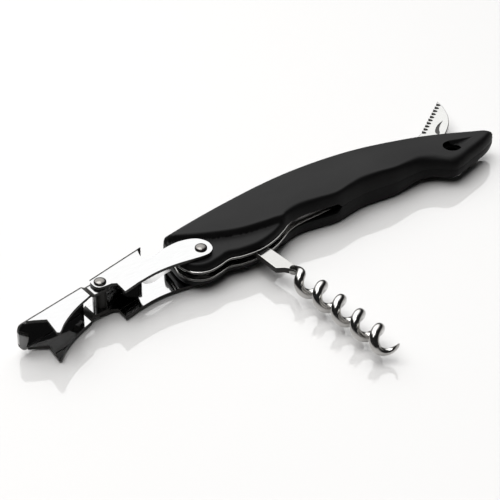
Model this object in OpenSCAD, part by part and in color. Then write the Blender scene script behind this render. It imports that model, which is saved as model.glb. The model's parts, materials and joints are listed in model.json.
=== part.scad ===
// Lever corkscrew of the waiter's kind, with a double-hinged lever, a folding worm and a foil blade.
// It lies on its flat side: X runs along the handle to the tail, +Y is the back edge, -Y the worm
// side, +Z up through the thickness. The origin is the middle of the handle's resting flat.
// Millimetres.

/* [Handle] */
// Half of the handle's thickness over the grip
grip_half = 6.1; // [5:0.1:7]
// Half of the handle's thickness at the tail
tail_half = 4.0; // [3:0.1:5]
// Height of the sunk face round the lever pivot, above the middle plane
lobe_half = 4.1; // [3.6:0.05:4.3]
// How far the back edge is rounded over
back_round = 3.0; // [1:0.1:4]
// Radius of the lanyard hole
lanyard_r = 2.6; // [1.5:0.1:3.5]

/* [Liners] */
// Sheet thickness of each steel liner
liner_t = 0.7; // [0.5:0.05:1]
// Gap between the two liners
liner_gap = 2.1; // [1.8:0.05:2.6]

/* [Levers] */
// Sheet thickness of both levers
sheet = 1.0; // [0.8:0.05:1.5]
// Clear height inside the lever channel
channel = 8.8; // [8:0.1:10]
// Radius of the lever rivet and the hinge rivet
rivet_r = 1.5; // [1:0.05:2]
// Radius of the domed rivet heads
head_r = 1.95; // [1.6:0.05:2.6]
// Rise of the domed rivet heads on the upper side
head_rise = 1.0; // [0.4:0.05:1.4]
// Rise of the flatter heads on the resting side
seat_rise = 0.6; // [0.4:0.05:0.65]

/* [Worm] */
// Radius of the worm's wire
wire_r = 1.55; // [1:0.05:2]
// Radius of the coil's centre line
coil_r = 2.7; // [2:0.05:4]
// Advance of the coil in one turn
pitch = 8.9; // [7:0.1:12]
// Turns of the coil past its start
turns = 4.67; // [3:0.01:6]
// Flat thickness of the shank
shank_t = 2.0; // [1.5:0.05:2.5]

/* [Foil blade] */
// Thickness of the blade
blade_t = 0.9; // [0.6:0.05:1.4]
// Angle the open blade makes with the handle
blade_open = 34; // [20:1:60]
// Length of one serration
notch_pitch = 2.1; // [1.5:0.1:3]
// Number of serrations
notch_count = 10; // [5:1:12]

/* [Fits] */
// Radial clearance of a turning fit
fit = 0.05; // [0.02:0.01:0.1]

/* [Hidden] */
$fn = 48;
origin = [62, 2];           // middle of the resting flat, measured from the hinge side
lever_pivot = [15.8, -7.0];
hinge = [-18.8, -3.0];
worm_pivot = [34, -9.5];
blade_pivot = [110, 0.8];
lanyard = [118, -8.1];
worm_x = 35;                // line of the worm's axis
coil_start = -34.15;        // Y where the turn count starts
coil_phase = 134;           // direction of the coil there
liner_in = liner_gap / 2;
liner_out = liner_in + liner_t;
ear_in = channel / 2;
ear_out = ear_in + sheet;
worm_pin_r = 1.25;
blade_pin_r = 1.25;
spring_pin_at = [60, -2.6];
liner_rivet_at = [[22, 3.2], [50, 5.6], [92, -2.3]];
STEEL = [0.75, 0.75, 0.74];
BRIGHT = [0.86, 0.86, 0.85];
BLACK = [0.10, 0.10, 0.10];
DARK_STEEL = [0.5, 0.5, 0.5];

// Which sub-part to show

// ---- curves --------------------------------------------------------------------------------
// A smooth curve through control points, for points of any dimension.
function through(p, i, t) =
  let (a = p[max(i - 1, 0)], b = p[i], c = p[i + 1], d = p[min(i + 2, len(p) - 1)])
  0.5 * (2 * b + (c - a) * t + (2 * a - 5 * b + 4 * c - d) * t * t
         + (3 * b - a - 3 * c + d) * t * t * t);
function curve(p, n) = concat([for (i = [0 : len(p) - 2]) for (k = [0 : n - 1]) through(p, i, k / n)],
                              [p[len(p) - 1]]);
function arc(c, r, a0, a1, n = 10) =
  [for (k = [0 : n]) let (a = a0 + (a1 - a0) * k / n) c + r * [cos(a), sin(a)]];
function ease(t) = let (u = min(max(t, 0), 1)) u * u * (3 - 2 * u);
function turn2(p, a) = [p[0] * cos(a) - p[1] * sin(a), p[0] * sin(a) + p[1] * cos(a)];

// A solid through a row of rings with the same number of points each.
module skin(rings) {
  m = len(rings[0]);
  n = len(rings);
  polyhedron(
    points = [for (r = rings) for (p = r) p],
    faces = concat(
      [for (i = [0 : n - 2]) for (j = [0 : m - 1]) [i * m + j, i * m + (j + 1) % m, (i + 1) * m + j]],
      [for (i = [0 : n - 2]) for (j = [0 : m - 1])
        [i * m + (j + 1) % m, (i + 1) * m + (j + 1) % m, (i + 1) * m + j]],
      [[for (j = [m - 1 : -1 : 0]) j]],
      [[for (j = [0 : m - 1]) (n - 1) * m + j]]),
    convexity = 6);
}

module placed() translate([-origin[0], -origin[1], grip_half]) children();
module both_sides() { children(); mirror([0, 0, 1]) children(); }
module plate(outline, z0, z1) translate([0, 0, z0]) linear_extrude(z1 - z0) polygon(outline);
module rod(at, r, z0, z1) translate([at[0], at[1], z0]) cylinder(r = r, h = z1 - z0);
module tube(at, ro, ri, z0, z1) difference() { rod(at, ro, z0, z1); rod(at, ri, z0 - 1, z1 + 1); }

// ---- handle form ---------------------------------------------------------------------------
// Front edge of the handle in plan: x, y and how far the edge is rounded over there.
front_edge = [[7.8, -6.0, 1.4], [8.5, -9.8, 1.6], [10.6, -12.5, 1.8], [14.2, -14.0, 1.8],
  [18.6, -13.5, 1.8], [22.6, -12.7, 1.8], [27, -13.9, 1.8], [33.5, -14.4, 1.8], [40, -12.9, 1.8],
  [45, -10.7, 1.9], [49.5, -8.8, 2.2], [55, -8.1, 2.2], [61, -8.8, 1.8], [68, -9.8, 1.4],
  [75, -8.9, 1.8], [80.5, -8.4, 2.1], [87, -8.9, 1.7], [93, -9.6, 1.6], [99, -9.4, 2.2],
  [104.5, -9.5, 3.2], [109, -11.8, 4.0], [112.8, -15.3, 3.6], [116.5, -15.4, 3.0],
  [122, -13.9, 2.6], [129, -12.0, 2.4], [133.6, -10.2, 1.8], [136.3, -8.5, 1.2]];
// Back edge of the handle in plan, one long bow that falls off to the tail.
back_edge = [[9, 5.2], [20, 7.3], [34, 9.4], [50, 11.1], [63, 11.6], [77, 10.8], [91, 8.8],
  [104, 6.6], [112, 4.7], [118, 2.4], [124, -0.6], [130, -3.8], [136, -7.0]];
back_line = curve(back_edge, 6);
function back_y(x) = lookup(x, back_line);
// The back end of the slanting section that starts at x on the front edge.
function back_x(x) = 9.9 + (x - 7.8) * (135.9 - 9.9) / (136.3 - 7.8);
// Half thickness: even over the grip, thinner at the tail, and closing round the tail's end.
function half_at(x) =
  (grip_half + (tail_half - grip_half) * ease((x - 84) / 34))
  * (x > 131 ? sqrt(max(0.3, 1 - pow((x - 131) / 6.4, 2))) : 1);

soft = 0.77; // squareness of the rounded edges
function rounding(k, n, r, h) = let (a = 90 * k / n)
  [r * (1 - pow(cos(a), soft)), h * pow(sin(a), soft)];
function section(q, n = 5) =
  let (f = [q[0], q[1]], bx = back_x(q[0]), b = [bx, back_y(bx)], w = norm(b - f),
       e = (b - f) / w, rf = min(q[2], 0.45 * w), rb = min(back_round, 0.45 * w),
       h = half_at(q[0]))
  concat(
    [for (k = [0 : n]) let (c = rounding(k, n, rf, h), p = f + e * c[0]) [p[0], p[1], c[1]]],
    [for (k = [n : -1 : 0]) let (c = rounding(k, n, rb, h), p = b - e * c[0]) [p[0], p[1], c[1]]]);

// The line where the full thickness drops to the sunk face round the lever pivot.
step_line = curve([[3, 6.5], [10.2, 3.2], [20, -2.4], [30.4, -7.0], [39.6, -8.8], [44, -9.3],
  [49, -10.6]], 4);
sunk_area = concat(step_line, [[49, -20], [3, -20]]);

// Space between the shells that holds the liners. It opens forward for the folded worm's shank
// and backward for the folded blade.
liner_front = curve([[7.6, -6.1], [8.3, -10.0], [10.5, -12.8], [14.2, -14.25], [18.7, -13.75],
  [22.7, -12.95], [27, -14.15], [33.5, -14.65], [40.2, -13.15], [45.2, -10.9], [49.6, -8.6],
  [55, -7.5], [63, -7.3], [72, -6.9], [88, -6.4], [104, -5.7], [112, -4.7], [118, -4.4],
  [122.5, -3.3]], 3);
liner_back = [for (x = [120.4 : -6 : 12]) [x, back_y(x) - 0.9]];
liner_outline = concat(liner_front, liner_back, [[10.8, 4.2]]);
module liner_space() {
  plate(liner_outline, -liner_out, liner_out);
  plate([[5, -20], [68, -20], [70, -5.5], [68, -4], [40, -2], [11, 4], [5, 4]], -liner_out, liner_out);
  plate([[76, 7], [78, 16], [120, 16], [122.6, 4], [122.6, -1.6], [118, -1]], -liner_out, liner_out);
}

// The scoop that runs from the lanyard hole toward the tail and gets shallower: a steep wall on its
// back side and a floor that rises to the surface on its front side.
module lanyard_scoop() {
  skin([for (t = [0, 0.96]) let (x = lanyard[0] + 1.0 + 8.2 * t,
        front = lanyard[1] - 2.4 * (1 - t) - 0.2, back = lanyard[1] + 3.0 * (1 - t) + 0.1,
        top = half_at(x))
    [[x, front - 0.4, top + 2], [x, front, top], [x, front + 0.78 * (back - front),
      top - 1.7 * (1 - t)], [x, back, top], [x, back + 0.1, top + 2]]]);
}

module half_shell() {
  difference() {
    skin([for (q = curve(front_edge, 3)) section(q)]);
    plate(sunk_area, lobe_half, 12);
    liner_space();
    rod(lanyard, lanyard_r, -1, 12);
    lanyard_scoop();
    rod(lever_pivot, rivet_r, -1, 12);
    rod(worm_pivot, worm_pin_r, -1, liner_out + 1.4);
    rod(blade_pivot, blade_pin_r, -1, liner_out + 1.2);
    rod(spring_pin_at, 1.0, -1, liner_out + 1.2);
    for (p = liner_rivet_at) rod(p, 0.9, -1, liner_out + 0.8);
  }
}

module upper_shell() color(BLACK) placed() half_shell();
module lower_shell() color(BLACK) placed() mirror([0, 0, 1]) half_shell();

module liner() {
  difference() {
    plate(liner_outline, liner_in, liner_out);
    rod(lever_pivot, rivet_r, 0, 4);
    rod(worm_pivot, worm_pin_r, 0, 4);
    rod(blade_pivot, blade_pin_r, 0, 4);
    rod(spring_pin_at, 1.0, 0, 4);
    for (p = liner_rivet_at) rod(p, 0.9, 0, 4);
  }
}
module upper_liner() color(STEEL) placed() liner();
module lower_liner() color(STEEL) placed() mirror([0, 0, 1]) liner();

// ---- fillers and pins between the liners ---------------------------------------------------
module front_spacer() color(DARK_STEEL) placed() difference() {
  plate(concat([[11, 0.5], [26, -1.5], [56, 2.5]],
               [for (x = [66 : -8 : 12]) [x, back_y(x) - 1.8]]), -liner_in, liner_in);
  for (p = [liner_rivet_at[0], liner_rivet_at[1]]) rod(p, 0.9, -4, 4);
}
// Two-armed spring: the short arm bears on the shank's root, the long one on the blade's root.
module back_spring() color(BRIGHT) placed() difference() {
  plate(concat(curve([[29, -6.2], [40, -6.2], [56, -6.3], [70, -6.2], [88, -5.6], [104, -4.9],
                      [107.4, -3.6]], 3),
               curve([[106.4, -2.9], [103, -3.4], [88, -3.9], [72, -2.6], [64, -0.6], [57, -0.2],
                      [46, -1.6], [38, -3.4], [29, -4.6]], 3)), -shank_t / 2, shank_t / 2);
  rod(spring_pin_at, 1.0, -4, 4);
}
module spring_pin() color(STEEL) placed() rod(spring_pin_at, 1.0, -liner_out - 1.2, liner_out + 1.2);
module liner_rivets() color(STEEL) placed()
  for (p = liner_rivet_at) rod(p, 0.9, -liner_out - 0.8, liner_out + 0.8);

module head(at, half, rise) {
  ball = (head_r * head_r + rise * rise) / (2 * rise);
  intersection() {
    translate([at[0], at[1], half + rise - ball]) sphere(r = ball);
    rod(at, head_r, half, half + 2);
  }
}
module rivet(at, r, half) {
  rod(at, r, -half - 0.1, half + 0.1);
  head(at, half, head_rise);
  mirror([0, 0, 1]) head(at, half, seat_rise);
}
module lever_rivet() color(STEEL) placed() rivet(lever_pivot, rivet_r, ear_out + fit);
module lever_washers() color(STEEL) placed()
  both_sides() tube(lever_pivot, 3.2, rivet_r, lobe_half, ear_in - fit);
module lever_bush() color(STEEL) placed() tube(lever_pivot, 3.0, rivet_r, -liner_in, liner_in);
module worm_pin() color(STEEL) placed()
  rod(worm_pivot, worm_pin_r, -liner_out - 1.4, liner_out + 1.4);
module blade_pin() color(STEEL) placed()
  rod(blade_pivot, blade_pin_r, -liner_out - 1.2, liner_out + 1.2);
module blade_washers() color(STEEL) placed()
  both_sides() tube(blade_pivot, 2.6, blade_pin_r, blade_t / 2 + fit, liner_in);

// ---- first lever ---------------------------------------------------------------------------
// Side plate: rounded end at the hinge, straight spine edge, cap-lifter hook and notch, then the
// arm that curves to the pivot, and the bottle tooth at the front.
first_outline = concat(
  [[-21.4, -3.6], [-21.3, -1.4], [-20.5, 0.3], [-18.6, 1.3], [1.1, 5.73], [1.3, 4.8], [0.2, 4.9]],
  curve([[-0.3, 4.4], [-1.5, 0.6], [-0.6, -1.3], [2.1, -1.6], [6.4, -0.4], [11.6, 0.0], [15.8, -1.0],
         [18.3, -2.8], [19.5, -5.8], [18.8, -8.9], [16.8, -10.5], [13.8, -10.7], [4.6, -9.2],
         [-2.4, -9.0], [-9.5, -10.0]], 3),
  [[-15.3, -11.4], [-15.0, -6.6]],
  curve([[-16.4, -5.7], [-18.6, -5.6], [-20.3, -5.3], [-21.2, -4.4]], 2));
first_spine = [[-19.6, 0.75], [-18.6, 1.3], [1.1, 5.73], [1.3, 4.75], [-0.35, 4.35], [-18.3, 0.3],
  [-19.3, 0.1]];
module first_lever() color(BRIGHT) placed() {
  difference() {
    union() {
      both_sides() plate(first_outline, ear_in, ear_out);
      plate(first_spine, -ear_out, ear_out);
    }
    rod(lever_pivot, rivet_r + fit, -9, 9);
    rod(hinge, rivet_r, -9, 9);
  }
}
module hinge_rivet() color(STEEL) placed() rivet(hinge, rivet_r, ear_out);

// ---- second lever --------------------------------------------------------------------------
second_outline = concat(
  [[-24.2, -0.5], [-24.5, -6.6]],
  curve([[-26.4, -7.4], [-30, -8.8], [-34, -10.8], [-38.3, -13.6], [-41.2, -16.2]], 3),
  [[-41.9, -16.6], [-42.5, -16.1], [-41.5, -9.1]],
  [[-44.8, -7.1], [-47.4, -5.5], [-47.6, -4.9]]);
tang_r = 2.9;
tang_z = ear_in - fit;
tang_outline = concat([[-23.3, -6.1]], arc(hinge, tang_r, -75, 105), [[-23.3, -0.6]]);
// Band of the back wall in plan; it goes on past the plates as a short tongue.
second_spine = [[-24.2, -0.5], [-47.6, -4.9], [-49.8, -5.3], [-49.6, -6.3], [-47.4, -5.9], [-24.0, -1.5]];
module second_lever() color(BRIGHT) placed() {
  difference() {
    union() {
      both_sides() {
        plate(second_outline, ear_in, ear_out);
        plate(tang_outline, tang_z - sheet, tang_z);
        // the cranked bend that takes the plate inside the first lever
        translate([0, -0.6, 0]) rotate([90, 0, 0]) linear_extrude(5.5)
          polygon([[-24.9, ear_in], [-24.9, ear_out], [-24.6, ear_out], [-23.0, tang_z],
                   [-23.0, tang_z - sheet], [-23.4, tang_z - sheet]]);
      }
      intersection() {
        plate(second_spine, -ear_out, ear_out);
        // rounded corners of the tongue, seen from the back
        translate([-36.5, 5, 0]) rotate([90, 0, 0]) linear_extrude(20) union() {
          square([20.4, 2 * ear_out], center = true);
          translate([-9.9, 0]) intersection() {
            circle(r = ear_out + 1.0);
            square([12, 2 * ear_out], center = true);
          }
          translate([8, 0]) square([12, 2 * ear_out], center = true);
        }
      }
    }
    rod(hinge, rivet_r + fit, -9, 9);
  }
}
module hinge_bush() color(STEEL) placed()
  tube(hinge, 1.9, rivet_r + fit, -(tang_z - sheet), tang_z - sheet);

// ---- worm ----------------------------------------------------------------------------------
module worm_shank() color(BRIGHT) placed() difference() {
  plate(concat(arc(worm_pivot, 3.0, 36, 200, 12),
               [[31.5, -13], [31.6, -24.4], [33.9, -25.9], [35.4, -28.0], [36.6, -28.0],
                [37.3, -26.5], [36.4, -13]]), -shank_t / 2, shank_t / 2);
  rod(worm_pivot, worm_pin_r + fit, -4, 4);
}

// Middle line of the wire: a lead-in from the shank's end, then an even right-hand coil.
lead = -0.06;
function coil_at(t) = [worm_x + coil_r * cos(coil_phase + 360 * t), coil_start - pitch * t,
                       coil_r * sin(coil_phase + 360 * t)];
wire_start = [36.0, -27.4, 0];
function wire_at(t) = t >= lead ? coil_at(t)
  : let (u = (t - (lead - 0.3)) / 0.3, a = wire_start, d = coil_at(lead),
         v = coil_at(lead + 0.02) - coil_at(lead), b = a + [-0.2, -1.8, 0.9], c = d - 4.2 * v)
    a * pow(1 - u, 3) + 3 * b * u * pow(1 - u, 2) + 3 * c * u * u * (1 - u) + d * u * u * u;
function wire_r_at(t) = wire_r * min(1, 0.1 + 0.9 * pow(max(0, (turns - t) / 0.5), 0.7));
steps = 104;
sides = 10;
module worm_screw() color(DARK_STEEL) placed() skin([
  for (i = [0 : steps])
    let (t = lead - 0.3 + (turns - lead + 0.3) * i / steps,
         q = wire_at(t), w = wire_at(t + 0.01) - wire_at(t - 0.005), d = w / norm(w),
         s0 = cross(d, [0, -1, 0]), s = norm(s0) < 0.02 ? [1, 0, 0] : s0 / norm(s0),
         n = cross(s, d))
      [for (j = [0 : sides - 1]) let (a = -360 * j / sides)
        q + wire_r_at(t) * (s * cos(a) + n * sin(a))]]);

// ---- foil blade ----------------------------------------------------------------------------
// Drawn along its own axis from the pivot, edge to the +Y side, then swung open.
edge_y = 1.25;
notch_start = 30.8;  // middle of the serration nearest the tip
blade_outline = concat(
  arc([0, 0], 3.3, 95, 262, 14),
  curve([[3, -3.4], [8, -5.6], [13, -6.5], [18, -6.4], [22, -5.7], [26, -4.2], [30, -1.7],
         [33.2, 1.3]], 3),
  [for (k = [0 : notch_count - 1]) for (q = [[0.6, 0], [0.43, -0.6], [0, -0.85], [-0.43, -0.6],
      [-0.6, 0]])
    [notch_start - notch_pitch * k + q[0], edge_y + q[1]]],
  [[notch_start - notch_pitch * notch_count, edge_y], [9, 1.6], [5, 2.9], [2, 3.3]]);
// Each serration is ground as an oval scallop from the top face.
module scallop(k) plate([for (a = [0 : 30 : 330])
  [notch_start - notch_pitch * k + 0.76 * cos(a), edge_y - 0.6 + 1.15 * sin(a)]], blade_t / 2 - 0.3, 2);
module foil_blade() color(BRIGHT) placed() translate([blade_pivot[0], blade_pivot[1], 0])
  rotate(blade_open) difference() {
    plate(blade_outline, -blade_t / 2, blade_t / 2);
    rod([0, 0], blade_pin_r + fit, -2, 2);
    for (k = [0 : notch_count - 1]) scallop(k);
    // nail nick
    plate(concat(curve([[12.4, -4.7], [12.9, -3.5], [14.7, -2.8], [18.2, -2.75], [21.8, -3.8]], 3),
                 curve([[19.0, -3.6], [16.0, -3.9], [13.6, -4.8]], 3)), blade_t / 2 - 0.3, 2);
  }

upper_shell();
lower_shell();
upper_liner();
lower_liner();
front_spacer();
back_spring();
spring_pin();
liner_rivets();
lever_rivet();
lever_washers();
lever_bush();
worm_pin();
blade_pin();
blade_washers();
first_lever();
hinge_rivet();
hinge_bush();
second_lever();
worm_shank();
worm_screw();
foil_blade();
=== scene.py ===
"""Looks of the lever corkscrew: smooth soft-touch shells, folded sheet levers, coiled worm and foil
blade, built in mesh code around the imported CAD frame. Outlines are drawn in millimetres in the CAD
drawing's own plan (x along the handle from the hinge side, y toward the back edge, z from the middle
plane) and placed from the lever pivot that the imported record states."""

import json
import math

import bmesh
import bpy
import numpy as np
from mathutils import Matrix, Vector


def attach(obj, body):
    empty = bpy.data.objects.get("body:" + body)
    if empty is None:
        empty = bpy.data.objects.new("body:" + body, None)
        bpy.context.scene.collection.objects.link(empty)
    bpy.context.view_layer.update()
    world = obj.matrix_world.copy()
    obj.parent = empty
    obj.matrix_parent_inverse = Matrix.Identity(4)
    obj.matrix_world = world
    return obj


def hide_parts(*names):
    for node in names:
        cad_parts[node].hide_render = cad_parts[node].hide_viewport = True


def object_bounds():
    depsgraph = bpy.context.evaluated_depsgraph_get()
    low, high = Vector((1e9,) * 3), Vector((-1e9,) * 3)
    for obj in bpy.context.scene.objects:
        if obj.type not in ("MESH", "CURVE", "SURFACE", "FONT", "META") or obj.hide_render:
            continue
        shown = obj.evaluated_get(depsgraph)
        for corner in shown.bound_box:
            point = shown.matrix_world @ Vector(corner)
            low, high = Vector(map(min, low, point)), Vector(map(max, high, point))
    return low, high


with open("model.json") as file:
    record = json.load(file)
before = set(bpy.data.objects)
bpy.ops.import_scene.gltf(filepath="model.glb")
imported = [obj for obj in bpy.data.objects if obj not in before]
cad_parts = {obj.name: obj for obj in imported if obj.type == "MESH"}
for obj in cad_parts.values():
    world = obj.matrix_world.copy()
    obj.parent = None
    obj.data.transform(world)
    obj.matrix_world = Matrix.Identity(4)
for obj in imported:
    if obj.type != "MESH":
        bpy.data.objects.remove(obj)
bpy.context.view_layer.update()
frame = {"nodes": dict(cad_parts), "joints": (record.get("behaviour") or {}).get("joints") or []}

MM = 0.001
# Where the pivots and the lanyard hole are in the drawing's plan.
LEVER_PIVOT = (15.8, -7.0)
HINGE = (-18.8, -3.0)
WORM_PIVOT = (34.0, -9.5)
BLADE_PIVOT = (110.0, 0.8)
LANYARD, LANYARD_R = (118.0, -8.1), 2.6
pivot_place = {j["name"]: Vector(j["pos_m"]) for j in frame["joints"]}
ORIGIN = pivot_place["lever_pivot"] - Vector((*LEVER_PIVOT, 0)) * MM

# Sizes shared with the CAD drawing, millimetres.
GRIP_HALF, TAIL_HALF, LOBE_HALF, BACK_ROUND = 6.1, 4.0, 4.1, 3.0
LINER_IN, LINER_OUT = 1.05, 1.75
EAR_IN, EAR_OUT, SHEET, FIT = 4.4, 5.4, 1.0, 0.05
RIVET_R, HEAD_R, HEAD_SIDE, HEAD_RISE, SEAT_RISE = 1.5, 1.95, 0.15, 1.0, 0.6


def at(x, y, z=0.0):
    """A point of the drawing, in metres in the row frame."""
    return ORIGIN + Vector((x, y, z)) * MM


# ---- curves ----------------------------------------------------------------------------------
def curve(points, n):
    """A smooth curve through the points, n steps between neighbours."""
    p = [np.array(q, float) for q in points]
    last, out = len(p) - 1, []
    for i in range(last):
        a, b, c, d = p[max(i - 1, 0)], p[i], p[i + 1], p[min(i + 2, last)]
        for k in range(n):
            t = k / n
            out.append(0.5 * (2 * b + (c - a) * t + (2 * a - 5 * b + 4 * c - d) * t * t
                              + (3 * b - a - 3 * c + d) * t ** 3))
    out.append(p[last])
    return out


def arc(centre, r, a0, a1, n):
    """Points round the centre from the angle a0 to a1, in degrees."""
    turn = [math.radians(a0 + (a1 - a0) * k / n) for k in range(n + 1)]
    return [(centre[0] + r * math.cos(a), centre[1] + r * math.sin(a)) for a in turn]


def ease(t):
    t = np.clip(t, 0.0, 1.0)
    return t * t * (3 - 2 * t)


# ---- mesh helpers ----------------------------------------------------------------------------
def mesh_object(name, verts, faces):
    mesh = bpy.data.meshes.new(name)
    mesh.from_pydata([tuple(v) for v in verts], [], faces)
    mesh.update()
    bm = bmesh.new()
    bm.from_mesh(mesh)
    bmesh.ops.recalc_face_normals(bm, faces=bm.faces)
    bm.to_mesh(mesh)
    bm.free()
    obj = bpy.data.objects.new(name, mesh)
    bpy.context.scene.collection.objects.link(obj)
    return obj


UP = Vector((0, 0, 1))


def prism(name, outline, z0, z1):
    """A plate: the outline in plan, from height z0 to z1."""
    n = len(outline)
    verts = [at(q[0], q[1], z) for z in (z0, z1) for q in outline]
    faces = [list(range(n - 1, -1, -1)), list(range(n, 2 * n))]
    faces += [[i, (i + 1) % n, n + (i + 1) % n, n + i] for i in range(n)]
    return mesh_object(name, verts, faces)


def lathe(name, centre, profile, n=56):
    """A turned piece about an upright line: profile is (radius, height) in millimetres."""
    rings = []
    for r, z in profile:
        rings.append([at(centre[0] + r * math.cos(a), centre[1] + r * math.sin(a), z)
                      for a in (2 * math.pi * k / n for k in range(n))])
    return skin(name, rings)


def skin(name, rings):
    """A closed surface through rings that have the same number of points."""
    m, count = len(rings[0]), len(rings)
    verts = [p for r in rings for p in r]
    faces = []
    for i in range(count - 1):
        for j in range(m):
            k = (j + 1) % m
            faces.append([i * m + j, i * m + k, (i + 1) * m + k, (i + 1) * m + j])
    faces += [list(range(m - 1, -1, -1)), [(count - 1) * m + j for j in range(m)]]
    return mesh_object(name, verts, faces)


def applied(obj):
    """Applies an object's modifiers to its mesh."""
    dg = bpy.context.evaluated_depsgraph_get()
    mesh = bpy.data.meshes.new_from_object(obj.evaluated_get(dg))
    obj.modifiers.clear()
    obj.data = mesh
    return obj


def combine(obj, tool, how):
    """obj with the tool cut from it, joined to it, or kept in common."""
    mod = obj.modifiers.new("op", "BOOLEAN")
    mod.operation, mod.object, mod.solver = how, tool, "EXACT"
    applied(obj)
    bpy.data.objects.remove(tool)
    return obj


def soften(obj, width, segments=2, angle=35, smooth=30, flats=()):
    """Rounds the edges a little, as tumbling or moulding does. Faces square to the directions in
    flats stay flat and the rest is shaded smooth."""
    bm = bmesh.new()
    bm.from_mesh(obj.data)
    bmesh.ops.remove_doubles(bm, verts=bm.verts, dist=0.002 * MM)
    bmesh.ops.dissolve_degenerate(bm, edges=bm.edges, dist=0.002 * MM)
    bm.to_mesh(obj.data)
    bm.free()
    if width:
        mod = obj.modifiers.new("edge", "BEVEL")
        mod.width, mod.segments, mod.limit_method = width * MM, segments, "ANGLE"
        mod.angle_limit, mod.use_clamp_overlap = math.radians(angle), True
        mod.harden_normals = False
        applied(obj)
    obj.data.shade_smooth()
    obj.data.set_sharp_from_angle(angle=math.radians(smooth))
    for face in obj.data.polygons:
        if any(abs(face.normal.dot(d)) > 0.9995 for d in flats):
            face.use_smooth = False
    return obj


def finish_piece(obj, material, body, slot, *nodes):
    obj.data.materials.clear()
    obj.data.materials.append(material)
    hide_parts(*nodes)
    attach(obj, body)
    return obj


def dull_and_shade_edges(obj, fold=None, tilt=0.55):
    """Gives the sheared rim of a plate a duller, near-black finish that is partly painted shade, and
    paints shade onto the outside of its bend along the line fold. The folded wall itself stays
    polished."""
    obj.data.materials.append(EDGE_AND_SHADE_STEEL)
    for face in obj.data.polygons:
        steep = abs(face.normal.z)
        if fold and distance(fold, (face.center - ORIGIN) / MM) < 1.85:
            dull_and_shaded = 0.05 < steep < 0.985
        else:
            dull_and_shaded = steep < tilt
        face.material_index = 1 if dull_and_shaded else 0
    return obj


def parted(obj, x):
    """Splits the faces of obj along the plane at x, so that a finish can end there."""
    bm = bmesh.new()
    bm.from_mesh(obj.data)
    bmesh.ops.bisect_plane(bm, geom=bm.verts[:] + bm.edges[:] + bm.faces[:],
                           plane_co=at(x, 0), plane_no=(1, 0, 0))
    bm.to_mesh(obj.data)
    bm.free()


def distance(line, p):
    """How far p is, in plan, from the endless line through two points."""
    a, b = np.array(line[0]), np.array(line[1])
    u = (b - a) / np.linalg.norm(b - a)
    return abs(u[0] * (p[1] - a[1]) - u[1] * (p[0] - a[0]))


# ---- materials -------------------------------------------------------------------------------
class Nodes:
    """Short names for building a node material."""

    def __init__(self, name):
        self.material = bpy.data.materials.new(name)
        self.material.use_nodes = True
        self.tree = self.material.node_tree
        self.shader = self.tree.nodes["Principled BSDF"]
        coords = self.tree.nodes.new("ShaderNodeTexCoord")
        self.place = coords.outputs["Object"]

    def add(self, kind, **inputs):
        node = self.tree.nodes.new(kind)
        for key, value in inputs.items():
            self.put(node, key.replace("_", " "), value)
        return node

    def put(self, node, key, value):
        socket = node.inputs[key]
        if isinstance(value, bpy.types.NodeSocket):
            self.tree.links.new(value, socket)
        else:
            socket.default_value = value

    def stretched(self, x, y, z, turn=0.0):
        node = self.add("ShaderNodeMapping", Vector=self.place, Scale=(x, y, z),
                        Rotation=(0, 0, turn))
        return node.outputs["Vector"]

    def noise(self, scale, detail=3.0, rough=0.55, vector=None):
        node = self.add("ShaderNodeTexNoise", Vector=vector or self.place, Scale=scale,
                        Detail=detail, Roughness=rough)
        return node.outputs["Fac"]

    def spread(self, value, low, high, out_low, out_high):
        node = self.add("ShaderNodeMapRange", Value=value)
        for key, v in zip(("From Min", "From Max", "To Min", "To Max"),
                          (low, high, out_low, out_high)):
            node.inputs[key].default_value = v
        return node.outputs["Result"]

    def ramp(self, value, *stops):
        node = self.add("ShaderNodeValToRGB", Fac=value)
        points = node.color_ramp.elements
        while len(points) < len(stops):
            points.new(0.5)
        for point, (where, colour) in zip(points, stops):
            point.position, point.color = where, (*colour, 1)
        return node.outputs["Color"]

    def bump(self, height, strength, distance, normal=None):
        node = self.add("ShaderNodeBump", Height=height, Strength=strength, Distance=distance)
        if normal is not None:
            self.put(node, "Normal", normal)
        return node.outputs["Normal"]

    def set(self, **values):
        for key, value in values.items():
            self.put(self.shader, key.replace("_", " "), value)
        return self.material


def soft_touch():
    """Black soft-touch coat: an even fine grain, a satin sheen and faint handling marks."""
    m = Nodes("soft_touch_black")
    grain = m.noise(2600, 2.0, 0.5)
    marks = m.noise(90, 4.0, 0.6)
    smear = m.noise(26, 3.0, 0.5, m.stretched(1.0, 2.5, 1.0, 0.5))
    colour = m.ramp(marks, (0.25, (0.0034, 0.0033, 0.0034)), (0.8, (0.0052, 0.0051, 0.0052)))
    rough = m.spread(smear, 0.3, 0.7, 0.41, 0.49)
    normal = m.bump(grain, 0.16, 0.00006, m.bump(marks, 0.03, 0.0002))
    return m.set(Base_Color=colour, Roughness=rough, Normal=normal, Specular_IOR_Level=0.115)


def polished(name, colour, rough_low, rough_high, wave, lines=(0.35, 3.0, 3.0), metallic=1.0,
             gloss=0.5):
    """Polished metal: faint buffing lines, small changes of gloss and a slightly wavy face."""
    m = Nodes(name)
    buff = m.noise(700, 3.0, 0.6, m.stretched(*lines))
    cloud = m.noise(160, 3.0, 0.5)
    rough = m.spread(cloud, 0.3, 0.7, rough_low, rough_high)
    shade = m.ramp(buff, (0.2, tuple(c * 0.93 for c in colour)), (0.8, colour))
    normal = m.bump(buff, 0.04, 0.00002, m.bump(m.noise(120, 1.0), wave, 0.0002))
    return m.set(Base_Color=shade, Metallic=metallic, Roughness=rough, Normal=normal,
                 Specular_IOR_Level=gloss)


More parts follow.
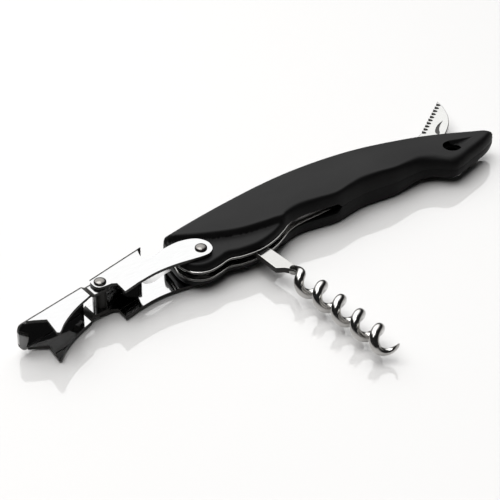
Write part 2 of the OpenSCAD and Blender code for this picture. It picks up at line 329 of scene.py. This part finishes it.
SOFT_BLACK = soft_touch()
CHROME = polished("lever_chrome", (0.42, 0.42, 0.42), 0.04, 0.075, 0.02)
LINER_STEEL = polished("liner_steel", (0.5, 0.495, 0.48), 0.16, 0.26, 0.03)
INNER_STEEL = polished("inner_steel", (0.34, 0.335, 0.33), 0.3, 0.42, 0.03)
RIVET_STEEL = polished("rivet_nickel", (0.17, 0.163, 0.154), 0.15, 0.24, 0.06, (1, 1, 1))
WORM_STEEL = polished("worm_nickel", (0.50, 0.49, 0.475), 0.10, 0.17, 0.04, (1, 1, 1))
SHANK_STEEL = polished("shank_nickel", (0.35, 0.345, 0.335), 0.09, 0.15, 0.04)
BLADE_STEEL = polished("blade_steel", (0.41, 0.41, 0.40), 0.10, 0.18, 0.02, (3.0, 0.3, 1))
# Dull dark steel for the sheared rims, and painted shade: near black and without the metallic look,
# so that it stays dark where it is seen edge on. It also paints shade on bends, the hook's end, the
# crank, the nick's floor and the hinge tube.
EDGE_AND_SHADE_STEEL = polished("sheared_edge_and_painted_shade", (0.03, 0.029, 0.027), 0.30, 0.45, 0.05, (1, 1, 0.4), 0.0, 0.2)


# ---- handle shells ---------------------------------------------------------------------------
FRONT_EDGE = [(7.8, -6.0, 1.4), (8.5, -9.8, 1.6), (10.6, -12.5, 1.8), (14.2, -14.0, 1.8),
              (18.6, -13.5, 1.8), (22.6, -12.7, 1.8), (27, -13.9, 1.8), (33.5, -14.4, 1.8),
              (40, -12.9, 1.8), (45, -10.7, 1.9), (49.5, -8.8, 2.2), (55, -8.1, 2.2),
              (61, -8.8, 1.8), (68, -9.8, 1.4), (75, -8.9, 1.8), (80.5, -8.4, 2.1),
              (87, -8.9, 1.7), (93, -9.6, 1.6), (99, -9.4, 2.2), (104.5, -9.5, 3.2),
              (109, -11.8, 4.0), (112.8, -15.3, 3.6), (116.5, -15.4, 3.0), (122, -13.9, 2.6),
              (129, -12.0, 2.4), (133.6, -10.2, 1.8), (136.3, -8.5, 1.2)]
BACK_EDGE = [(9, 5.2), (20, 7.3), (34, 9.4), (50, 11.1), (63, 11.6), (77, 10.8), (91, 8.8),
             (104, 6.6), (112, 4.7), (118, 2.4), (124, -0.6), (130, -3.8), (136, -7.0)]
STEP_LINE = [(3, 6.5), (10.2, 3.2), (20, -2.4), (30.4, -7.0), (39.6, -8.8), (44, -9.3),
             (49, -10.6)]
SOFT = 0.77          # squareness of the rounded edges
STEP_FOOT, STEP_TOP = 0.3, 1.3     # how far the step's wall reaches to each side of its line
SLOT_END = 67.8      # where the worm's slot closes on the front edge
BLADE_SLOT = (77.0, 122.0)
PARTING = 0.03       # half of the hairline between the two shells
BACK_LINE = np.array(curve(BACK_EDGE, 12))
FRONT_FROM, FRONT_TO = 7.8, 136.3  # the ends of the front edge
BACK_FROM, BACK_TO = 9.9, 135.9    # where the back edge ends opposite them
END_ROUND = 0.7      # rounding of the rims at both ends
TAIL_ROUND_FROM = 135.2            # where the tail's rounding starts on the back edge


def back_y(x):
    return float(np.interp(x, BACK_LINE[:, 0], BACK_LINE[:, 1]))


def back_x(x):
    """The place on the back edge that lies across from x on the front edge."""
    return BACK_FROM + (x - FRONT_FROM) * (BACK_TO - BACK_FROM) / (FRONT_TO - FRONT_FROM)


def half_at(x):
    """Half of the handle's thickness, which falls toward the tail and again at its tip."""
    h = GRIP_HALF + (TAIL_HALF - GRIP_HALF) * float(ease((x - 84) / 34))
    return h * (math.sqrt(max(0.3, 1 - ((x - 131) / 6.4) ** 2)) if x > 131 else 1)


STEP_FINE = np.array(curve(STEP_LINE, 14))


def step_share(p):
    """0 on the sunk face round the lever pivot, 1 on the full-height grip, smooth between."""
    d = np.linalg.norm(STEP_FINE - p, axis=1)
    i = int(np.argmin(d))
    a, b = STEP_FINE[max(i - 1, 0)], STEP_FINE[min(i + 1, len(STEP_FINE) - 1)]
    side = (b[0] - a[0]) * (p[1] - a[1]) - (b[1] - a[1]) * (p[0] - a[0])
    if p[0] > 47:
        side = 1
    t = float(np.clip((math.copysign(d[i], side) + STEP_FOOT) / (STEP_FOOT + STEP_TOP), 0, 1))
    return float(ease(t))


def groove(p):
    """Depth of the tapering scoop that leaves the lanyard hole toward the tail: a steep wall on its
    back side, and a floor that rises to the surface on its front side."""
    t = (p[0] - LANYARD[0] - 1.0) / 8.2
    if not 0 < t < 1:
        return 0.0
    low, high = LANYARD[1] - 2.4 * (1 - t) - 0.2, LANYARD[1] + 3.0 * (1 - t) + 0.1
    s = (p[1] - low) / (high - low)
    return 1.7 * (1 - t) * max(0.0, min(s / 0.78, (1 - s) / 0.22))


def shell_ring(q):
    """One section of a shell, from the point q of the front edge across to the back edge. The third
    value of q is the rounding there, and heights are from the middle plane."""
    front = np.array(q[:2])
    bx = back_x(q[0])
    back = np.array((bx, back_y(bx)))
    width = np.linalg.norm(back - front)
    e = (back - front) / width
    rf, rb = min(q[2], 0.45 * width), min(BACK_ROUND, 0.45 * width)
    h = half_at(q[0])
    end = max(0.0, END_ROUND - (bx - BACK_FROM), bx - TAIL_ROUND_FROM) / END_ROUND
    shrink = END_ROUND * (1 - math.sqrt(max(0.0, 1 - end * end)))
    lip_f = LINER_OUT - (LINER_OUT - PARTING) * float(ease((q[0] - SLOT_END) / 2.5))
    lip_b = PARTING + (LINER_OUT - PARTING) * float(
        ease((bx - BLADE_SLOT[0]) / 2.0) * ease((BLADE_SLOT[1] - bx) / 2.0))
    lip_f, lip_b = min(lip_f, 0.6 * h), min(lip_b, 0.6 * h)

    def top(p):
        cap = LOBE_HALF + (h - LOBE_HALF) * step_share(p) if h > LOBE_HALF else h
        return cap - shrink

    def side(start, sign, r, lip):
        pts, n = [], 12
        for k in range(n + 1):
            a = 0.5 * math.pi * k / n
            p = start + sign * e * (shrink + r * (1 - math.cos(a) ** SOFT))
            z = top(p) * math.sin(a) ** SOFT
            if z < lip + 0.25:                        # small round at the lip
                u = max(0.0, min(1.0, (lip + 0.25 - z) / 0.25)) if z > lip else 1.0
                z = max(z, lip)
                p = p + sign * e * 0.12 * u * u
            pts.append((p, z))
        return pts

    ring = side(front, 1, rf, lip_f)
    inner_f, inner_b = front + e * (shrink + rf), back - e * (shrink + rb)
    flat = 64
    for k in range(1, flat):
        p = inner_f + (inner_b - inner_f) * k / flat
        ring.append((p, top(p) - groove(p)))
    ring += reversed(side(back, -1, rb, lip_b))
    wall = min(1.0, 0.2 * width)
    for start, sign, lip in ((back, -1, lip_b), (front, 1, lip_f)):
        rim = start + sign * e * (wall + shrink)
        deep = start + sign * e * (wall + 0.1 + shrink)
        pair = [(rim, lip), (deep, max(lip, min(LINER_OUT, 0.6 * h)))]
        ring += pair if sign < 0 else pair[::-1]
    return ring


def shell(name, sign):
    rings = []
    for q in curve(FRONT_EDGE, 13):
        rings.append([at(p[0], p[1], sign * z) for p, z in shell_ring(q)])
    obj = skin(name, rings)
    # through hole for the lanyard, with a soft rim
    r, rim = LANYARD_R, 0.5
    profile = [(r, -1.0), (r, TAIL_HALF - rim)]
    profile += [(r + rim * (1 - math.cos(a)), TAIL_HALF - rim + rim * math.sin(a))
                for a in (math.radians(15 * k) for k in range(1, 7))]
    profile += [(r + rim + 0.4, TAIL_HALF + 0.3), (r + rim + 0.4, TAIL_HALF + 3)]
    hole = lathe("hole", LANYARD, [(a, sign * b) for a, b in profile])
    combine(obj, hole, "DIFFERENCE")
    return soften(obj, 0, smooth=42)


finish_piece(shell("shell_upper_soft", 1), SOFT_BLACK, "handle", "shell", "upper_shell")
finish_piece(shell("shell_lower_soft", -1), SOFT_BLACK, "handle", "shell", "lower_shell")

# ---- liners ----------------------------------------------------------------------------------
LINER_FRONT = [(7.6, -6.1), (8.3, -10.0), (10.5, -12.8), (14.2, -14.25), (18.7, -13.75),
               (22.7, -12.95), (27, -14.15), (33.5, -14.65), (40.2, -13.15), (45.2, -10.9),
               (49.6, -8.6), (55, -7.5), (63, -7.3), (72, -6.9), (88, -6.4), (104, -5.7),
               (112, -4.7), (118, -4.4), (122.5, -3.3)]
liner_outline = [tuple(p) for p in curve(LINER_FRONT, 8)]
liner_outline += [(x, back_y(x) - 0.9) for x in np.arange(120.4, 12, -2.0)] + [(10.8, 4.2)]
for name, node, low, high in (("liner_upper", "upper_liner", LINER_IN, LINER_OUT),
                              ("liner_lower", "lower_liner", -LINER_OUT, -LINER_IN)):
    liner = soften(prism(name, liner_outline, low, high), 0.16, 2, flats=(UP,))
    # the liners' cut rims get the dull near-black steel, which is partly painted shade
    dull_and_shade_edges(finish_piece(liner, LINER_STEEL, "handle", "liner", node), tilt=0.3)


# ---- rivets, washers and the hinge tube ------------------------------------------------------
def rivet(name, centre, half):
    """Shaft with a tall dome on top and a flatter head on the resting side."""
    up, down = [
        [(RIVET_R, half), (HEAD_R - 0.05, half), (HEAD_R, half + 0.04)]
        + [(HEAD_R * math.cos(a), half + HEAD_SIDE + (rise - HEAD_SIDE) * math.sin(a))
           for a in (math.radians(7.5 * k) for k in range(12))] + [(0.01, half + rise)]
        for rise in (HEAD_RISE, SEAT_RISE)]
    profile = [(r, -z) for r, z in reversed(down)] + up
    return soften(lathe(name, centre, profile), 0, smooth=50)


finish_piece(rivet("rivet_lever", LEVER_PIVOT, EAR_OUT + FIT), RIVET_STEEL, "handle", "rivet",
             "lever_rivet")
finish_piece(rivet("rivet_hinge", HINGE, EAR_OUT), RIVET_STEEL, "first_lever", "rivet",
             "hinge_rivet")


def ring_piece(name, centre, outer, inner, low, high, edge=0.12):
    """A turned ring or tube with softened rims."""
    profile = [(inner, low + edge), (inner + edge, low), (outer - edge, low), (outer, low + edge),
               (outer, high - edge), (outer - edge, high), (inner + edge, high),
               (inner, high - edge), (inner, low + edge)]
    obj = lathe(name, centre, profile[:-1])
    bm = bmesh.new()
    bm.from_mesh(obj.data)
    caps = [f for f in bm.faces if len(f.verts) > 4]
    bmesh.ops.delete(bm, geom=caps, context="FACES")
    bmesh.ops.bridge_loops(bm, edges=[e for e in bm.edges if e.is_boundary])
    bmesh.ops.recalc_face_normals(bm, faces=bm.faces)
    bm.to_mesh(obj.data)
    bm.free()
    return soften(obj, 0, smooth=40)


TANG_Z = EAR_IN - FIT
# the hinge tube between the tangs is painted near black as painted shade
finish_piece(ring_piece("hinge_tube", HINGE, 1.9, RIVET_R + FIT, -(TANG_Z - SHEET), TANG_Z - SHEET),
             EDGE_AND_SHADE_STEEL, "second_lever", "rivet", "hinge_bush")

# ---- levers ----------------------------------------------------------------------------------
SPINE_ONE = ((-18.6, 1.3), (0.1, 5.5))       # back line of the first lever's folded wall
SPINE_TWO = ((-24.2, -0.5), (-47.6, -4.9))


def across(line):
    """Direction square to a fold line, in plan."""
    a, b = Vector((*line[0], 0)), Vector((*line[1], 0))
    return (b - a).normalized().cross(UP)


def channel(name, a, b, before, after, reach, bend=1.8, inner_r=0.25):
    """Sheet folded to a U along the line a-b: the wall is at the line, the sides run to the front."""
    a, b = (a, b) if a[0] < b[0] else (b, a)
    a, b = np.array(a), np.array(b)
    u = (b - a) / np.linalg.norm(b - a)
    inward = np.array((u[1], -u[0]))
    outer, inner = [], []
    for corner in (1, -1):
        for k in range(13):
            t = math.radians(90 * k / 12 if corner > 0 else 90 - 90 * k / 12)
            # from the top side round to the wall, then from the wall round to the bottom side
            outer.append((bend - bend * math.sin(t), corner * (EAR_OUT - bend + bend * math.cos(t))))
            inner.append((SHEET + inner_r - inner_r * math.sin(t),
                          corner * (EAR_IN - inner_r + inner_r * math.cos(t))))
    section = [(reach, EAR_OUT)] + outer + [(reach, -EAR_OUT), (reach, -EAR_IN)]
    section += list(reversed(inner)) + [(reach, EAR_IN)]
    rings = []
    for end in (a - u * before, b + u * after):
        rings.append([at(*(end + inward * d), z) for d, z in section])
    return skin(name, rings)


def drilled(obj, centre, r):
    return combine(obj, lathe("drill", centre, [(r, -9), (r, 9)], 64), "DIFFERENCE")


first_outline = [(-21.4, -3.6), (-21.3, -1.4), (-20.5, 0.3), (-18.6, 1.32), (1.1, 5.75),
                 (1.3, 4.8), (0.2, 4.9)]
first_outline += [tuple(p) for p in curve(
    [(-0.3, 4.4), (-1.5, 0.6), (-0.6, -1.3), (2.1, -1.6), (6.4, -0.4), (11.6, 0.0), (15.8, -1.0),
     (18.3, -2.8), (19.5, -5.8), (18.8, -8.9), (16.8, -10.5), (13.8, -10.7), (4.6, -9.2),
     (-2.4, -9.0), (-9.5, -10.0)], 8)]
first_outline += [(-15.3, -11.4), (-15.0, -6.6)]
first_outline += [tuple(p) for p in curve([(-16.4, -5.7), (-18.6, -5.6), (-20.3, -5.3),
                                           (-21.2, -4.4)], 5)]
first = channel("lever_first", *SPINE_ONE, 12, 24, 40)
combine(first, prism("cut", first_outline, -8, 8), "INTERSECT")
# the wall stops clear of the second lever's tangs
combine(first, prism("cut", [(-30, -9), (-19.55, -9), (-19.55, 6), (-30, 6)], -EAR_IN + 0.01,
                     EAR_IN - 0.01), "DIFFERENCE")
drilled(first, LEVER_PIVOT, RIVET_R + FIT)
drilled(first, HINGE, RIVET_R + 0.01)
soften(first, 0.13, 2, 35, flats=(UP, across(SPINE_ONE)))
HOOK_X = 0.15
parted(first, HOOK_X)
# the first lever's rims get the dull near-black steel, partly painted shade, and the outside of its
# bend gets painted shade
dull_and_shade_edges(finish_piece(first, CHROME, "first_lever", "lever", "first_lever"),
           SPINE_ONE, 0.8)
for face in first.data.polygons:                 # painted shade on the wall's end at the hook, in the dull near-black steel
    place = (face.center - ORIGIN) / MM
    if place.x > HOOK_X and place.y > 4.3 and abs(face.normal.z) < 0.99:
        face.material_index = 1

second_outline = [(-24.2, -0.48)] + arc(HINGE, 2.9, 96, -78, 28)
second_outline += [(-24.4, -6.2), (-24.5, -6.6)]
second_outline += [tuple(p) for p in curve([(-26.4, -7.4), (-30, -8.8), (-34, -10.8),
                                            (-38.3, -13.6), (-41.2, -16.2)], 8)]
second_outline += [(-41.9, -16.6), (-42.5, -16.1), (-41.5, -9.1), (-44.8, -7.1), (-47.4, -5.9)]
second_outline += [(-49.8, -6.35), (-49.8, -5.3), (-47.6, -4.88)]
second = channel("lever_second", *SPINE_TWO, 6, 12, 30)
combine(second, prism("cut", second_outline, -8, 8), "INTERSECT")
# the wall stops short of the hinge; the sides go on as tangs
combine(second, prism("cut", [(-24.15, -9), (-12, -9), (-12, 6), (-24.15, 6)], -EAR_IN + 0.01,
                      EAR_IN - 0.01), "DIFFERENCE")
# the tongue at the tip has round corners, seen from the back
corner_r, tip_x = 3.4, -49.75
tongue = [(tip_x + corner_r - corner_r * math.cos(a), s * (EAR_OUT + 0.02 - corner_r
          + corner_r * math.sin(a)))
          for s, angles in ((-1, range(90, -1, -10)), (1, range(0, 91, 10)))
          for a in (math.radians(d) for d in angles)]
tongue += [(-10, EAR_OUT + 0.02), (-10, -EAR_OUT - 0.02)]
blank = mesh_object("blank", [at(x, y, z) for y in (-30, 8) for x, z in tongue],
                    [list(range(len(tongue))), list(range(2 * len(tongue) - 1, len(tongue) - 1, -1))]
                    + [[i, (i + 1) % len(tongue), len(tongue) + (i + 1) % len(tongue),
                        len(tongue) + i] for i in range(len(tongue))])
combine(second, blank, "INTERSECT")
# under the tongue the sides are cut away
combine(second, prism("cut", [(-46.9, -5.8), (-51, -6.56), (-51, -9), (-46.9, -9)], -8, 8),
        "DIFFERENCE")


def crank(obj, start, end, drop):
    """Presses the sides inward past x=start, reaching the full drop at x=end."""
    steps = 8
    for k in range(steps + 1):
        parted(obj, start + (end - start) * k / steps)
    for v in obj.data.vertices:
        x = (v.co.x - ORIGIN.x) / MM
        t = float(ease((x - start) / (end - start)))
        v.co.z -= math.copysign(drop * MM * t, v.co.z - ORIGIN.z)


CRANK = (-25.0, -22.8)
crank(second, *CRANK, SHEET + FIT)
drilled(second, HINGE, RIVET_R + FIT)
soften(second, 0.13, 2, 35, flats=(UP, across(SPINE_TWO)))
# the second lever's rims get the dull near-black steel, partly painted shade, and the outside of its
# bend gets painted shade
dull_and_shade_edges(finish_piece(second, CHROME, "second_lever", "lever", "second_lever"),
           SPINE_TWO, 0.8)
for face in second.data.polygons:                # painted shade on the pressed crank, in the dull near-black steel
    if CRANK[0] < (face.center.x - ORIGIN.x) / MM < CRANK[1] and abs(face.normal.z) < 0.99:
        face.material_index = 1

# ---- worm ------------------------------------------------------------------------------------
WIRE_R, COIL_R, PITCH, TURNS = 1.55, 2.7, 8.9, 4.67
WORM_X, COIL_START, COIL_PHASE, LEAD = 35.0, -34.15, 134.0, -0.06
WIRE_START = np.array((36.0, -27.4, 0.0))
SHANK_HALF = 1.0

shank_outline = arc(WORM_PIVOT, 3.0, 36, 200, 24)
shank_outline += [(31.5, -13), (31.6, -24.4), (33.9, -25.9), (35.4, -28.0), (36.6, -28.0),
                  (37.3, -26.5), (36.4, -13)]
shank = prism("worm_bar", shank_outline, -SHANK_HALF, SHANK_HALF)
drilled(shank, WORM_PIVOT, 1.3)
soften(shank, 0.16, 3, 30, flats=(UP,))
# the shank's side faces get the dull near-black steel, which is partly painted shade
dull_and_shade_edges(finish_piece(shank, SHANK_STEEL, "worm", "lever", "worm_shank"), tilt=0.8)


def coil_at(t):
    a = math.radians(COIL_PHASE + 360 * t)
    return np.array((WORM_X + COIL_R * math.cos(a), COIL_START - PITCH * t, COIL_R * math.sin(a)))


def wire_at(t):
    if t >= LEAD:
        return coil_at(t)
    u = (t - (LEAD - 0.3)) / 0.3
    d = coil_at(LEAD)
    v = coil_at(LEAD + 0.02) - d
    b, c = WIRE_START + np.array((-0.2, -1.8, 0.9)), d - 4.2 * v
    return (WIRE_START * (1 - u) ** 3 + 3 * b * u * (1 - u) ** 2 + 3 * c * u * u * (1 - u)
            + d * u ** 3)


def wire_radius(t):
    return WIRE_R * min(1.0, 0.08 + 0.92 * max(0.0, (TURNS - t) / 0.5) ** 0.7)


rings, count, sides = [], 420, 24
for i in range(count + 1):
    t = LEAD - 0.3 + (TURNS - LEAD + 0.3) * i / count
    here, ahead = wire_at(t), wire_at(t + 0.006) - wire_at(t - 0.003)
    ahead /= np.linalg.norm(ahead)
    s = np.cross(ahead, (0, -1, 0))
    s /= np.linalg.norm(s)
    n = np.cross(s, ahead)
    r = wire_radius(t)
    rings.append([at(*(here + r * (s * math.cos(a) + n * math.sin(a))))
                  for a in (2 * math.pi * k / sides for k in range(sides))])
coil = soften(skin("worm_coil", rings), 0, smooth=60)
finish_piece(coil, WORM_STEEL, "worm", "worm", "worm_screw")

# ---- foil blade ------------------------------------------------------------------------------
BLADE_OPEN, BLADE_HALF, EDGE_Y = 34.0, 0.45, 1.25
NOTCH_PITCH, NOTCHES, NOTCH_START = 2.1, 10, 30.8
blade_line = arc((0, 0), 3.3, 95, 262, 24)
blade_line += [tuple(p) for p in curve([(3, -3.4), (8, -5.6), (13, -6.5), (18, -6.4), (22, -5.7),
                                        (26, -4.2), (30, -1.7), (33.2, 1.3)], 6)]
blade_line += [(32, EDGE_Y), (32 - NOTCH_PITCH * NOTCHES, EDGE_Y), (9, 1.6), (5, 2.9), (2, 3.3)]
turn = math.radians(BLADE_OPEN)


def swung(p):
    return (BLADE_PIVOT[0] + p[0] * math.cos(turn) - p[1] * math.sin(turn),
            BLADE_PIVOT[1] + p[0] * math.sin(turn) + p[1] * math.cos(turn))


blade = prism("foil_blade_steel", [swung(p) for p in blade_line], -BLADE_HALF, BLADE_HALF)
drilled(blade, BLADE_PIVOT, 1.3)
soften(blade, 0.24, 2, 50)
# crescent nail nick
nick_line = [swung(p) for p in curve([(12.4, -4.7), (12.9, -3.5), (14.7, -2.8), (18.2, -2.75),
                                      (21.8, -3.8)], 6)]
nick_line += [swung(p) for p in curve([(19.0, -3.6), (16.0, -3.9), (13.6, -4.8)], 6)]
combine(blade, prism("nick", nick_line, BLADE_HALF - 0.25, 2), "DIFFERENCE")
# each serration is an oval scallop ground from the top face, with a notch right through at the edge
for k in range(NOTCHES):
    x = NOTCH_START - NOTCH_PITCH * k
    for name, low, wide, y, deep in (("scallop", BLADE_HALF - 0.3, 0.76, EDGE_Y - 0.6, 1.15),
                                     ("notch", -2, 0.6, EDGE_Y, 0.85)):
        oval = [swung((x + wide * math.cos(a), y + deep * math.sin(a)))
                for a in (math.radians(22.5 * j) for j in range(16))]
        combine(blade, prism(name, oval, low, 2), "DIFFERENCE")
soften(blade, 0, smooth=30, flats=(UP,))
# the blade's rims and serration walls get the dull near-black steel, which is partly painted shade
dull_and_shade_edges(finish_piece(blade, BLADE_STEEL, "blade", "blade", "foil_blade"), tilt=0.95)
# painted shade: the floor of the nail nick gets the near-black steel
nick_floor = at(0, 0, BLADE_HALF - 0.1).z
for face in blade.data.polygons:
    if face.normal.z > 0.9 and face.center.z < nick_floor:
        face.material_index = 1

# ---- CAD nodes that keep their own shape -----------------------------------------------------
for node in ("front_spacer", "back_spring", "spring_pin", "liner_rivets",
             "lever_washers", "lever_bush", "worm_pin", "blade_pin", "blade_washers"):
    obj = frame["nodes"][node]
    obj.data.materials.clear()
    obj.data.materials.append(RIVET_STEEL if "washers" in node else INNER_STEEL)

# ---- floor, light and camera -----------------------------------------------------------------
lo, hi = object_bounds()
floor = mesh_object("floor", [(x, y, 0) for x, y in ((-3, -3), (3, -3), (3, 3), (-3, 3))],
                    [[0, 1, 2, 3]])
m = Nodes("floor_white")
floor.data.materials.append(m.set(Base_Color=(0.62, 0.614, 0.608, 1), Roughness=0.045,
                                  IOR=1.6))

AZIMUTH, ELEVATION, DISTANCE = math.radians(37.0), math.radians(35.5), 0.65
AIM, AIM_DROP = at(40, 0, 0), 0.00794   # the camera looks a little below the aim
RIGHT = Vector((math.cos(AZIMUTH), -math.sin(AZIMUTH), 0))
AHEAD = Vector((math.sin(AZIMUTH), math.cos(AZIMUTH), 0))
forward = AHEAD * math.cos(ELEVATION) - Vector((0, 0, math.sin(ELEVATION)))
up = RIGHT.cross(forward)
camera = bpy.data.objects.new("camera", bpy.data.cameras.new("camera"))
bpy.context.scene.collection.objects.link(camera)
camera.data.lens, camera.data.sensor_width = 147.4, 36.0   # millimetres
camera.data.clip_start = 0.01
camera.location = AIM - forward * DISTANCE - up * AIM_DROP
axes = Matrix((RIGHT, up, -forward)).transposed()
camera.rotation_euler = axes.to_euler()
bpy.context.scene.camera = camera


def softbox(name, where, target, size, power):
    data = bpy.data.lights.new(name, "AREA")
    data.shape, data.size, data.size_y = "RECTANGLE", size[0], size[1]
    data.energy = power
    lamp = bpy.data.objects.new(name, data)
    lamp.location = where
    lamp.rotation_euler = (Vector(target) - Vector(where)).to_track_quat("-Z", "Y").to_euler()
    bpy.context.scene.collection.objects.link(lamp)


middle = (lo + hi) / 2
softbox("overhead", middle - AHEAD * 0.1 - RIGHT * 0.3 + Vector((0, 0, 1.1)), middle, (1.2, 0.9),
        11)

world = bpy.data.worlds.new("studio")
bpy.context.scene.world = world
world.use_nodes = True
tree = world.node_tree
sky = tree.nodes["Background"]
direction = tree.nodes.new("ShaderNodeTexCoord").outputs["Generated"]
split = tree.nodes.new("ShaderNodeVectorMath")
split.operation = "DOT_PRODUCT"
split.inputs[1].default_value = (AHEAD * 0.57 - RIGHT * 0.2 + Vector((0, 0, 0.8)))[:]
tree.links.new(direction, split.inputs[0])
fade = tree.nodes.new("ShaderNodeMapRange")
fade.interpolation_type = "SMOOTHSTEP"
for key, v in zip(("From Min", "From Max", "To Min", "To Max"), (0.6, 0.95, 0.022, 2.4)):
    fade.inputs[key].default_value = v
tree.links.new(split.outputs["Value"], fade.inputs["Value"])
tree.links.new(fade.outputs["Result"], sky.inputs["Color"])
sky.inputs["Strength"].default_value = 1.0
bpy.context.scene.view_settings.view_transform = "Standard"
